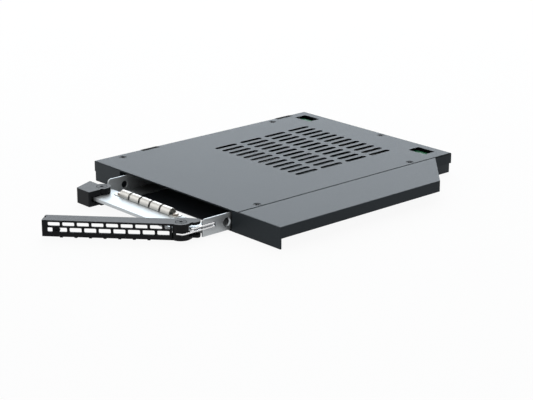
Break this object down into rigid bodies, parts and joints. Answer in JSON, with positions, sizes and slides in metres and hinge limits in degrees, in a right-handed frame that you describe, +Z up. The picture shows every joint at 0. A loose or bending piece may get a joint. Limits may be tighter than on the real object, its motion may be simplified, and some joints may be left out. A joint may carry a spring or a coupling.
{
  "type": "hot-swap drive cage",
  "caption": "Slim sheet-metal drive cage with a vented cover and side wing, and a sliding tray with a sprung, perforated swing lever, key lock, release latch and spring fingers.",
  "frame": {"origin": "underside of the housing, midway across its full width with the wing and midway along its depth", "axes": "+X from the plain side towards the wing, +Y from the mouth to the rear connector, +Z up through the vented cover"},
  "size_m": [0.128, 0.1978, 0.0095],
  "materials": {
    "cover": "fine powder coat, blue-grey",
    "pan": "fine powder coat, blue-grey",
    "tray": "bright zinc-plated sheet",
    "spring_steel": "bright rolled strip and wire",
    "lever": "satin dark paint",
    "latch": "satin dark paint",
    "screws": "plated steel",
    "guide": "black moulding",
    "moulding": "black moulding",
    "board": "green solder mask",
    "contacts": "gold-plated spring contacts"
  },
  "bodies": {
    "housing": {"base_pan": "pan", "base_walls": "pan", "side_blocks": "guide", "side_nuts": "screws", "top_cover": "cover", "cover_folds": "cover", "wing_bracket": "cover", "left_rail": "guide", "right_rail": "guide", "cover_posts": "screws", "cover_screws": "screws", "base_screws": "screws", "wing_screws": "screws", "backplane_board": "board", "board_posts": "screws", "board_screws": "screws", "drive_socket": "moulding", "socket_contacts": "contacts", "host_connector": "moulding", "host_contacts": "contacts", "board_chips": "moulding"},
    "tray": {"tray_frame": "tray", "finger_strip": "spring_steel", "strip_rivets": "screws", "lever_screw": "screws", "lever_stud": "screws", "lever_spring": "spring_steel", "latch_screw": "screws", "latch_stud": "screws", "latch_spring": "spring_steel"},
    "lever": {"lever": "lever"},
    "lock": {"key_lock": "screws"},
    "latch": {"release_latch": "latch"}
  },
  "joints": [
    {"name": "tray_slide", "type": "slide", "parent": "housing", "child": "tray", "axis": [0, -1, 0], "range_m": [-0.0245, 0.08]},
    {"name": "lever_hinge", "type": "hinge", "parent": "tray", "child": "lever", "pos_m": [0.0283, -0.0895, 0.00465], "axis": [0, 0, 1], "range_deg": [-42.8, 0], "stiffness_Nm_per_rad": 0.01, "springref_deg": 11.46},
    {"name": "latch_hinge", "type": "hinge", "parent": "tray", "child": "latch", "pos_m": [-0.0337, -0.0846, 0.00405], "axis": [0, 0, 1], "range_deg": [-6, 0], "stiffness_Nm_per_rad": 0.004, "springref_deg": 5.73},
    {"name": "key_turn", "type": "hinge", "parent": "lever", "child": "lock", "pos_m": [-0.00747, -0.12712, 0.00405], "axis": [0.6794, -0.7337, 0], "range_deg": [0, 90]}
  ]
}
